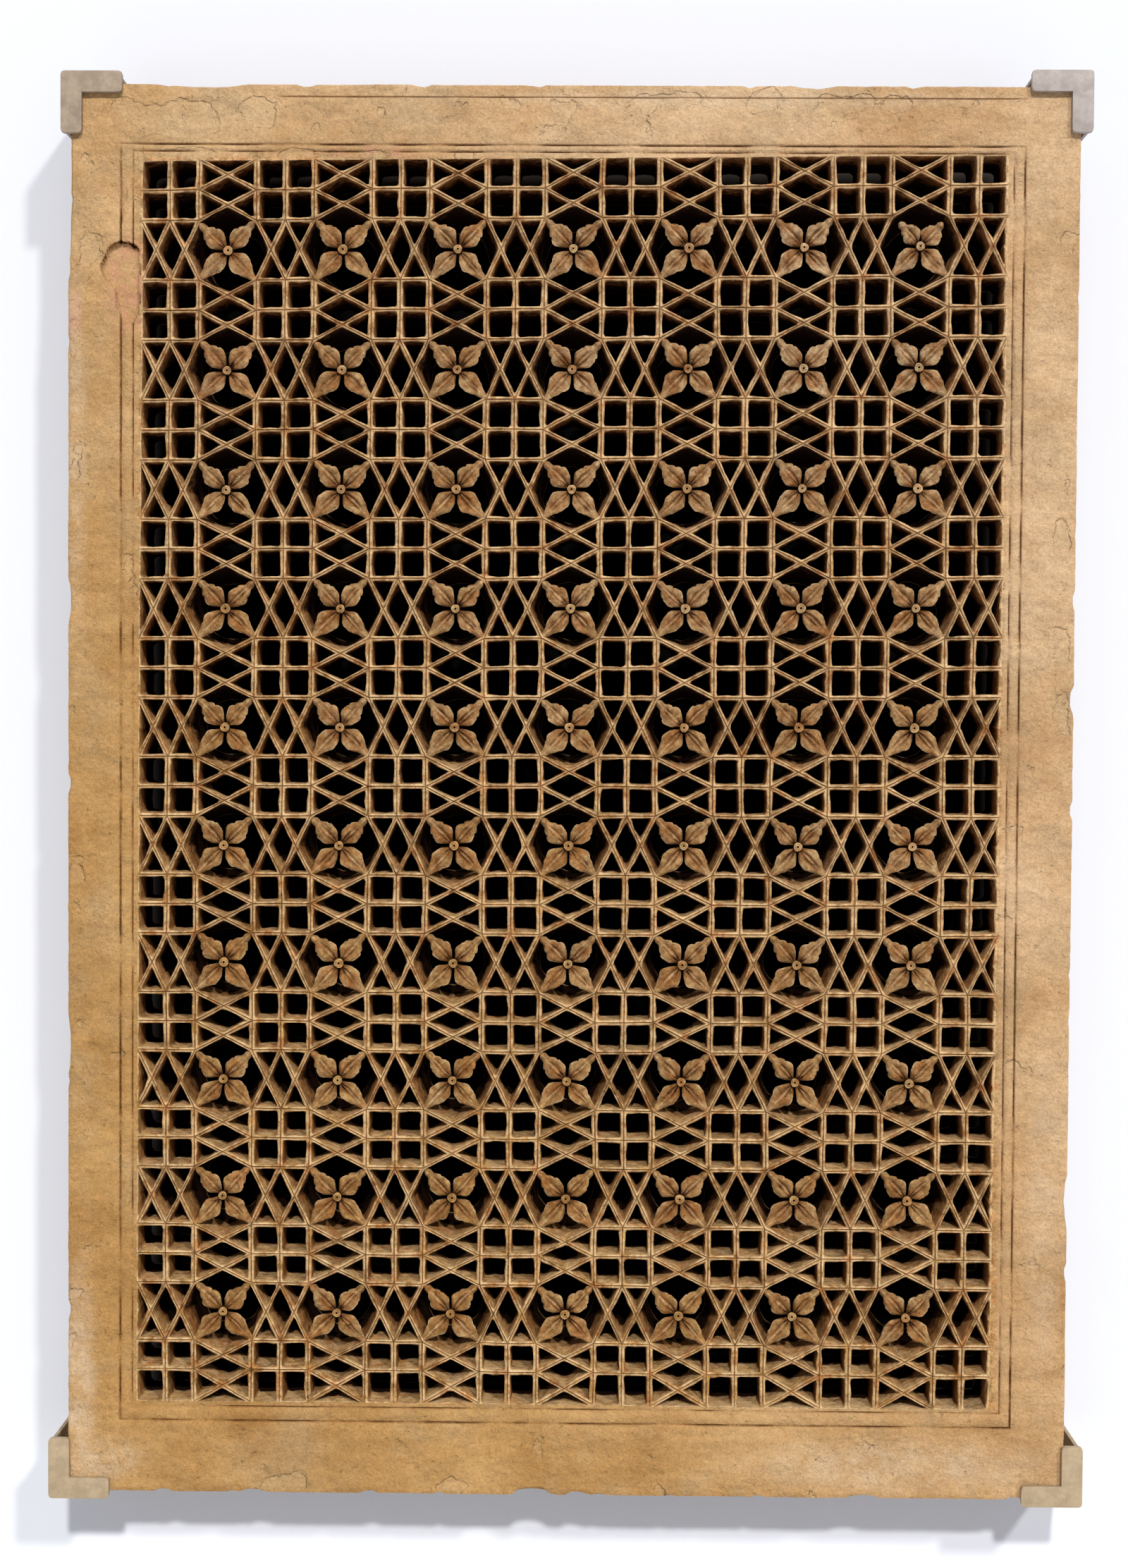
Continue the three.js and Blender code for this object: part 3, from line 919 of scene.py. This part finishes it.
def make_flowers():
    build = Builder()
    rng = random.Random(19)
    diagonal = math.atan2(UNIT_HEIGHT, UNIT_WIDTH)
    angles = (diagonal, math.pi - diagonal, math.pi + diagonal, -diagonal)
    reach = math.hypot(UNIT_HEIGHT, UNIT_WIDTH)
    for column in range(1, COLUMNS, 2):
        for row in range(1, ROWS, 2):
            centre = place((2 * column + 1, 2 * row + 1))
            upper_left = column <= 3 and row >= ROWS - 5
            worn = 0.9 if upper_left else rng.uniform(0.0, 0.35)
            broken = column == COLUMNS - 2 and row == ROWS - 2
            for quarter, angle in enumerate(angles):
                upper = quarter < 2
                length = reach - (UPPER_SHORTER if upper else LOWER_SHORTER)
                if broken and upper:
                    length -= BROKEN_OFF
                profile = UPPER_PROFILE if upper else LOWER_PROFILE
                swing = rng.uniform(-PETAL_SWING, PETAL_SWING)
                add_petal(build, centre, angle + swing, length, profile, upper, rng, worn)
            add_boss(build, centre, rng)
    build.points = warped(build.points)
    return build.finish("flowers", FLOWERS_SHARP)


# The clips

CLIP_BEVEL = 0.45 * MM
SAME_PLACE = 0.01 * MM
FLAT_WITHIN = 1
BEVEL_FROM = 35


def make_clip(node):
    """The clip's own solid with its edges eased, standing for the node."""
    source = bpy.data.objects[node]
    piece = bpy.data.objects.new(node + "_dressed", source.data.copy())
    bpy.context.collection.objects.link(piece)
    form = bmesh.new()
    form.from_mesh(piece.data)
    bmesh.ops.remove_doubles(form, verts=form.verts, dist=SAME_PLACE)
    flat = math.radians(FLAT_WITHIN)
    bmesh.ops.dissolve_limit(form, angle_limit=flat, verts=form.verts, edges=form.edges)
    form.to_mesh(piece.data)
    form.free()
    bevel = piece.modifiers.new("eased", "BEVEL")
    bevel.width = CLIP_BEVEL
    bevel.segments = 3
    bevel.limit_method = "ANGLE"
    bevel.angle_limit = math.radians(BEVEL_FROM)
    bevel.use_clamp_overlap = True
    bpy.context.view_layer.update()
    graph = bpy.context.evaluated_depsgraph_get()
    mesh = bpy.data.meshes.new_from_object(piece.evaluated_get(graph))
    piece.modifiers.clear()
    piece.data = mesh
    mesh.shade_smooth()
    mesh.set_sharp_from_angle(angle=math.radians(CLIP_SHARP))
    return piece


# Materials

class Nodes:
    """Short calls for building one material's nodes."""

    def __init__(self, name):
        self.material = bpy.data.materials.new(name)
        self.material.use_nodes = True
        self.tree = self.material.node_tree
        self.shader = self.tree.nodes["Principled BSDF"]

    def link(self, output, socket):
        self.tree.links.new(output, socket)

    def add(self, kind, **settings):
        node = self.tree.nodes.new(kind)
        for key, value in settings.items():
            setattr(node, key, value)
        return node

    def coordinates(self):
        return self.add("ShaderNodeTexCoord").outputs["Object"]

    def stretched(self, coordinates):
        """Coordinates that draw a pattern out along x."""
        node = self.add("ShaderNodeMapping")
        node.inputs["Scale"].default_value = (0.25, 1.0, 1.0)
        self.link(coordinates, node.inputs["Vector"])
        return node.outputs["Vector"]

    def noise(self, coordinates, scale, detail=4.0, roughness=0.55, offset=0.0):
        shift = self.add("ShaderNodeVectorMath", operation="ADD")
        shift.inputs[1].default_value = (offset, 0.7 * offset, 1.3 * offset)
        self.link(coordinates, shift.inputs[0])
        node = self.add("ShaderNodeTexNoise")
        node.inputs["Scale"].default_value = scale
        node.inputs["Detail"].default_value = detail
        node.inputs["Roughness"].default_value = roughness
        self.link(shift.outputs[0], node.inputs["Vector"])
        return node.outputs["Fac"]

    def ramp(self, value, low, high):
        """The value stretched so that low becomes 0 and high becomes 1."""
        node = self.add("ShaderNodeMapRange", interpolation_type="SMOOTHSTEP")
        node.inputs["From Min"].default_value = low
        node.inputs["From Max"].default_value = high
        self.link(value, node.inputs["Value"])
        return node.outputs["Result"]

    def sum_or_product(self, operation, a, b):
        node = self.add("ShaderNodeMath", operation=operation)
        for socket, value in zip(node.inputs, (a, b)):
            if isinstance(value, (int, float)):
                socket.default_value = value
            else:
                self.link(value, socket)
        return node.outputs[0]

    def times(self, a, b):
        return self.sum_or_product("MULTIPLY", a, b)

    def plus(self, a, b):
        return self.sum_or_product("ADD", a, b)

    def mix(self, share, a, b, blend="MIX"):
        node = self.add("ShaderNodeMix", data_type="RGBA", blend_type=blend)
        sockets = (node.inputs[0], node.inputs[6], node.inputs[7])
        for socket, value in zip(sockets, (share, a, b)):
            if isinstance(value, (int, float)):
                socket.default_value = value
            elif isinstance(value, tuple):
                socket.default_value = (*value, 1.0)
            else:
                self.link(value, socket)
        return node.outputs[2]

    def attribute(self, name):
        return self.add("ShaderNodeAttribute", attribute_name=name).outputs["Fac"]


# Colours of the stone, and pairs that darken and lighten it
GOLD = (0.475, 0.292, 0.122)
OCHRE = (0.405, 0.235, 0.088)
BUFF = (0.60, 0.425, 0.265)
PINK_TAN = (0.53, 0.345, 0.19)
GREY_TAN = (0.36, 0.28, 0.175)
RUSSET = (0.39, 0.15, 0.045)
PALE = (0.62, 0.48, 0.31)
# Painted highlight mixed with rubbed wear on lips, petal rims and ribs; painted light on the openings'
# floors
RUBBED_AND_LIT = (0.80, 0.61, 0.36)
CHALKY = (0.68, 0.56, 0.43)
ROSE = (0.50, 0.26, 0.165)
# Painted shade: brown and black for grime and shade in grooves, creases and holes
BROWN_GRIME_AND_SHADE = (0.16, 0.056, 0.013)
BLACK_GRIME_AND_SHADE = (0.016, 0.006, 0.003)
CLIP_WORN = (0.62, 0.56, 0.46)
CLOUD_SHADE = (0.72, 0.64, 0.52)
STREAKS = ((0.72, 0.68, 0.62), (1.2, 1.2, 1.2))
MOTTLES = ((0.46, 0.40, 0.32), (1.4, 1.4, 1.36))
SPECKS = ((0.62, 0.58, 0.52), (1.3, 1.27, 1.22))
SLAB_TINT = (1.0, 1.0, 1.0)
FLOWER_TINT = (0.93, 0.99, 1.03)

# Where painted shade starts in the openings, how ragged its edge is, and where the slab's back is clear
SHADE_DEPTH = 43 * MM
SHADE_RAGGED = 24 * MM
CLEAR_BACK = 1.5 * MM
CLEAR_BACK_FADE = 6 * MM


def stone_colour(nodes, at, grain, flake, tint):
    """Golden to buff sandstone with clouds, rubbed lips with a painted highlight, russet stains, grime
    with painted shade, painted light to the upper right and painted black shade deep in the holes.
    """
    carved = nodes.attribute("carved")
    cloud = nodes.ramp(nodes.noise(at, 5.0, 5, 0.6), 0.36, 0.64)
    golden = nodes.mix(cloud, GOLD, OCHRE)
    # Painted light: lighter and pinker toward the upper right
    colour = nodes.mix(nodes.attribute("lit_up_right"), golden, nodes.mix(cloud, BUFF, PINK_TAN))
    dark = nodes.ramp(nodes.noise(at, 7.5, 6, 0.64, 2.0), 0.46, 0.74)
    colour = nodes.mix(nodes.times(dark, 0.75), colour, CLOUD_SHADE, "MULTIPLY")
    grey = nodes.ramp(nodes.noise(at, 11.0, 5, 0.6, 3.0), 0.48, 0.7)
    colour = nodes.mix(nodes.times(grey, 0.35), colour, GREY_TAN)
    red = nodes.ramp(nodes.noise(at, 34.0, 5, 0.68, 7.0), 0.47, 0.62)
    stained = nodes.times(red, nodes.plus(nodes.times(carved, 0.6), 0.06))
    colour = nodes.mix(stained, colour, RUSSET)
    streaks = nodes.ramp(nodes.noise(nodes.stretched(at), 60.0, 6, 0.7, 41.0), 0.36, 0.64)
    colour = nodes.mix(0.3, colour, nodes.mix(streaks, *STREAKS), "MULTIPLY")
    mottle = nodes.ramp(nodes.noise(at, 120.0, 5, 0.72, 43.0), 0.34, 0.66)
    uneven = nodes.plus(nodes.times(carved, 0.6), 0.15)
    colour = nodes.mix(uneven, colour, nodes.mix(mottle, *MOTTLES), "MULTIPLY")
    colour = nodes.mix(nodes.times(flake, 0.12), colour, PALE)
    colour = nodes.mix(1.0, colour, tint, "MULTIPLY")
    rosy = nodes.ramp(nodes.noise(at, 45.0, 6, 0.7, 47.0), 0.42, 0.56)
    colour = nodes.mix(nodes.times(nodes.attribute("rosy"), rosy), colour, ROSE)
    scuffed = nodes.ramp(nodes.noise(at, 30.0, 6, 0.75, 23.0), 0.28, 0.68)
    colour = nodes.mix(nodes.times(nodes.attribute("pale"), scuffed), colour, CHALKY)
    # Painted highlight on the lips and rims, with their rubbed wear
    lip = nodes.ramp(nodes.noise(at, 70.0, 5, 0.7, 53.0), 0.38, 0.58)
    rubbed_and_lit = nodes.times(nodes.attribute("rubbed_and_lit"), nodes.times(lip, 0.85))
    colour = nodes.mix(rubbed_and_lit, colour, RUBBED_AND_LIT)
    speck = nodes.ramp(grain, 0.3, 0.7)
    colour = nodes.mix(0.38, colour, nodes.mix(speck, *SPECKS), "MULTIPLY")
    patchy = nodes.noise(at, 90.0, 5, 0.7, 17.0)
    patchy = nodes.times(patchy, nodes.plus(nodes.times(carved, 0.14), 0.46))
    apart = nodes.add("ShaderNodeSeparateXYZ")
    nodes.link(at, apart.inputs[0])
    before_back = nodes.ramp(apart.outputs["Y"], BACK - CLEAR_BACK, BACK - CLEAR_BACK_FADE)
    grime_and_shade = nodes.attribute("grime_and_shade")
    grime_and_shade = nodes.times(grime_and_shade, nodes.plus(nodes.times(before_back, 0.75), 0.25))
    dirt_and_shade = nodes.plus(grime_and_shade, patchy)
    # Painted shade: grime and shade in grooves, creases and holes darken to brown, then black
    colour = nodes.mix(nodes.times(nodes.ramp(dirt_and_shade, 0.42, 0.85), 0.85), colour, BROWN_GRIME_AND_SHADE)
    colour = nodes.mix(nodes.ramp(dirt_and_shade, 0.76, 0.95), colour, BLACK_GRIME_AND_SHADE)
    # Painted shadow: hole walls turn black past a ragged depth, where they lie in shade
    ragged = nodes.times(nodes.noise(at, 55.0, 4, 0.6, 59.0), SHADE_RAGGED)
    edge = FRONT + SHADE_DEPTH + SHADE_RAGGED / 2
    depth = nodes.plus(apart.outputs["Y"], ragged)
    deep_inside = nodes.ramp(depth, edge - 2 * MM, edge + 4 * MM)
    painted_shade = nodes.times(nodes.times(nodes.attribute("hollow"), deep_inside), before_back)
    return nodes.mix(painted_shade, colour, BLACK_GRIME_AND_SHADE)


def stone_relief(nodes, at, grain, flake):
    """Bumps from the hand-dressed waves down to the grain, with pits and the steps of flaked skin."""
    # Height, strength and depth in millimetres of each layer, from the broadest
    pits = nodes.ramp(nodes.noise(at, 95.0, 3, 0.5, 29.0), 0.66, 0.74)
    layers = [
        (nodes.noise(at, 12.0, 8, 0.6, 27.0), 1.0, 18.0),
        (flake, -1.0, 2.0),
        (nodes.noise(at, 48.0, 6, 0.7, 19.0), 0.8, 4.5),
        (pits, -0.8, 1.6),
        (grain, 0.7, 0.9),
    ]
    normal = None
    for height, strength, millimetres in layers:
        bump = nodes.add("ShaderNodeBump", invert=strength < 0)
        bump.inputs["Strength"].default_value = abs(strength)
        bump.inputs["Distance"].default_value = millimetres * MM
        nodes.link(height, bump.inputs["Height"])
        if normal:
            nodes.link(normal, bump.inputs["Normal"])
        normal = bump.outputs["Normal"]
    return normal


def sandstone(name, tint):
    """The matt stone of the slab or the flowers."""
    nodes = Nodes(name)
    at = nodes.coordinates()
    grain = nodes.noise(at, 380.0, 4, 0.65, 13.0)
    skin = nodes.noise(at, 13.0, 5, 0.52, 37.0)
    skin = nodes.plus(skin, nodes.times(nodes.attribute("flaked"), 0.16))
    flake = nodes.ramp(skin, 0.655, 0.682)
    nodes.link(stone_colour(nodes, at, grain, flake, tint), nodes.shader.inputs["Base Color"])
    nodes.link(stone_relief(nodes, at, grain, flake), nodes.shader.inputs["Normal"])
    nodes.shader.inputs["Specular IOR Level"].default_value = 0.06
    nodes.shader.inputs["Roughness"].default_value = 0.9
    return nodes.material


def clip_paint(name, base, shade):
    """Stone-coloured paint on a clip, mottled and a little worn."""
    nodes = Nodes(name)
    at = nodes.coordinates()
    mottle = nodes.ramp(nodes.noise(at, 70.0, 5, 0.65), 0.35, 0.65)
    colour = nodes.mix(mottle, base, shade)
    wear = nodes.ramp(nodes.noise(at, 190.0, 5, 0.7, 5.0), 0.62, 0.75)
    colour = nodes.mix(nodes.times(wear, 0.5), colour, CLIP_WORN)
    nodes.link(colour, nodes.shader.inputs["Base Color"])
    nodes.shader.inputs["Roughness"].default_value = 0.6
    nodes.shader.inputs["Specular IOR Level"].default_value = 0.35
    bump = nodes.add("ShaderNodeBump")
    bump.inputs["Strength"].default_value = 0.3
    bump.inputs["Distance"].default_value = 0.4 * MM
    nodes.link(nodes.noise(at, 260.0, 4, 0.6, 9.0), bump.inputs["Height"])
    nodes.link(bump.outputs["Normal"], nodes.shader.inputs["Normal"])
    return nodes.material


def plain(name, colour, roughness):
    nodes = Nodes(name)
    nodes.shader.inputs["Base Color"].default_value = (*colour, 1.0)
    nodes.shader.inputs["Roughness"].default_value = roughness
    return nodes.material


# Stage, light and camera

WALL_WIDTH = 6.0
FLOOR_REACH = 12.0
FLOOR_LEVEL = -2.3
BEHIND_MOUNTS = 1.0 * MM
SHADE_INSET = 50 * MM
FLOOR_COLOUR = (0.62, 0.62, 0.63)
WALL_COLOUR = (0.73, 0.765, 0.85)
SHADE_COLOUR = (0.004, 0.004, 0.004)
SUN_COLOUR = (1.0, 0.97, 0.92)


def make_stage():
    """A pale floor, and a pale backdrop at the wall plane that shows only from its front, with a
    painted shadow nearly black behind the slab.
    """
    floor_mesh = bpy.data.meshes.new("floor")
    reach = FLOOR_REACH
    corners = [(-reach, -reach), (reach, -reach), (reach, reach), (-reach, reach)]
    floor_mesh.from_pydata([(x, y, FLOOR_LEVEL) for x, y in corners], [], [(0, 1, 2, 3)])
    floor = bpy.data.objects.new("floor", floor_mesh)
    bpy.context.collection.objects.link(floor)
    floor.data.materials.append(plain("floor_pale", FLOOR_COLOUR, 0.8))

    wall_mesh = bpy.data.meshes.new("backdrop")
    half = WALL_WIDTH / 2
    y = BEHIND_MOUNTS
    wall_mesh.from_pydata(
        [(-half, y, FLOOR_LEVEL), (half, y, FLOOR_LEVEL), (half, y, half), (-half, y, half)],
        [], [(0, 1, 2, 3)],
    )
    wall = bpy.data.objects.new("backdrop", wall_mesh)
    bpy.context.collection.objects.link(wall)
    nodes = Nodes("backdrop_pale")
    at = nodes.coordinates()
    apart = nodes.add("ShaderNodeSeparateXYZ")
    nodes.link(at, apart.inputs[0])
    across = nodes.add("ShaderNodeMath", operation="ABSOLUTE")
    nodes.link(apart.outputs["X"], across.inputs[0])
    up = nodes.add("ShaderNodeMath", operation="ABSOLUTE")
    nodes.link(apart.outputs["Z"], up.inputs[0])
    # Painted shadow: the backdrop is nearly black behind the slab
    behind = nodes.times(
        nodes.ramp(across.outputs[0], RIGHT - SHADE_INSET, RIGHT - 2 * SHADE_INSET),
        nodes.ramp(up.outputs[0], TOP - SHADE_INSET, TOP - 2 * SHADE_INSET),
    )
    colour = nodes.mix(behind, WALL_COLOUR, SHADE_COLOUR)
    nodes.link(colour, nodes.shader.inputs["Base Color"])
    nodes.shader.inputs["Roughness"].default_value = 0.9
    nodes.shader.inputs["Specular IOR Level"].default_value = 0.0
    clear = nodes.add("ShaderNodeBsdfTransparent")
    choose = nodes.add("ShaderNodeMixShader")
    facing = nodes.add("ShaderNodeNewGeometry")
    output = nodes.tree.nodes["Material Output"]
    nodes.link(facing.outputs["Backfacing"], choose.inputs[0])
    nodes.link(nodes.shader.outputs[0], choose.inputs[1])
    nodes.link(clear.outputs[0], choose.inputs[2])
    nodes.link(choose.outputs[0], output.inputs["Surface"])
    wall.data.materials.append(nodes.material)


def add_sun(name, energy, softness, toward):
    data = bpy.data.lights.new(name, "SUN")
    data.energy = energy
    data.angle = math.radians(softness)
    data.color = SUN_COLOUR
    sun = bpy.data.objects.new(name, data)
    sun.rotation_euler = Vector(toward).to_track_quat("Z", "Y").to_euler()
    bpy.context.collection.objects.link(sun)


def make_light():
    """A main light from above, two weaker ones, and pale light all round."""
    add_sun("above", 2.1, 3.0, (0.06, -1.0, 0.68))
    add_sun("upper_right", 1.4, 4.0, (0.55, -1.0, 0.78))
    add_sun("from_behind", 1.3, 12.0, (-1.0, 0.75, 0.7))
    world = bpy.data.worlds.new("pale")
    world.use_nodes = True
    background = world.node_tree.nodes["Background"]
    background.inputs["Color"].default_value = (0.97, 0.96, 0.97, 1.0)
    background.inputs["Strength"].default_value = 0.36
    bpy.context.scene.world = world
    bpy.context.scene.view_settings.view_transform = "Standard"


# The camera stands square to the slab, a little right of its middle, with a normal lens
IMAGE_HEIGHT = 2224
SENSOR = 36.0
FOCAL_PIXELS = 3190
CAMERA_X = 0.0258
CAMERA_Z = 0.1049
CAMERA_DISTANCE = 2.909
PITCH_DOWN = 1.736
YAW_LEFT = 0.651
ROLL = 0.374


def make_camera():
    data = bpy.data.cameras.new("camera")
    data.sensor_width = SENSOR
    data.lens = FOCAL_PIXELS / IMAGE_HEIGHT * SENSOR
    camera = bpy.data.objects.new("camera", data)
    camera.location = (CAMERA_X, FRONT - CAMERA_DISTANCE, CAMERA_Z)
    camera.rotation_euler = (math.radians(90 - PITCH_DOWN), math.radians(-ROLL), math.radians(YAW_LEFT))
    bpy.context.collection.objects.link(camera)
    bpy.context.scene.camera = camera


# Everything in place

slab = make_slab()
slab.data.materials.append(sandstone("sandstone_slab", SLAB_TINT))
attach(slab, "root")
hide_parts(*SLAB_NODES)

flowers = make_flowers()
flowers.data.materials.append(sandstone("sandstone_flowers", FLOWER_TINT))
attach(flowers, "root")

CLIP_COLOURS = {
    "clip_top_left": ((0.36, 0.285, 0.215), (0.26, 0.205, 0.15)),
    "clip_top_right": ((0.42, 0.375, 0.36), (0.33, 0.29, 0.275)),
    "clip_bottom_left": ((0.40, 0.31, 0.20), (0.32, 0.245, 0.155)),
    "clip_bottom_right": ((0.42, 0.325, 0.21), (0.34, 0.26, 0.165)),
}
for node, (base, shade) in CLIP_COLOURS.items():
    clip = make_clip(node)
    clip.data.materials.clear()
    clip.data.materials.append(clip_paint(node + "_paint", base, shade))
    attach(clip, "root")
    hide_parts(node)

make_stage()
make_light()
make_camera()
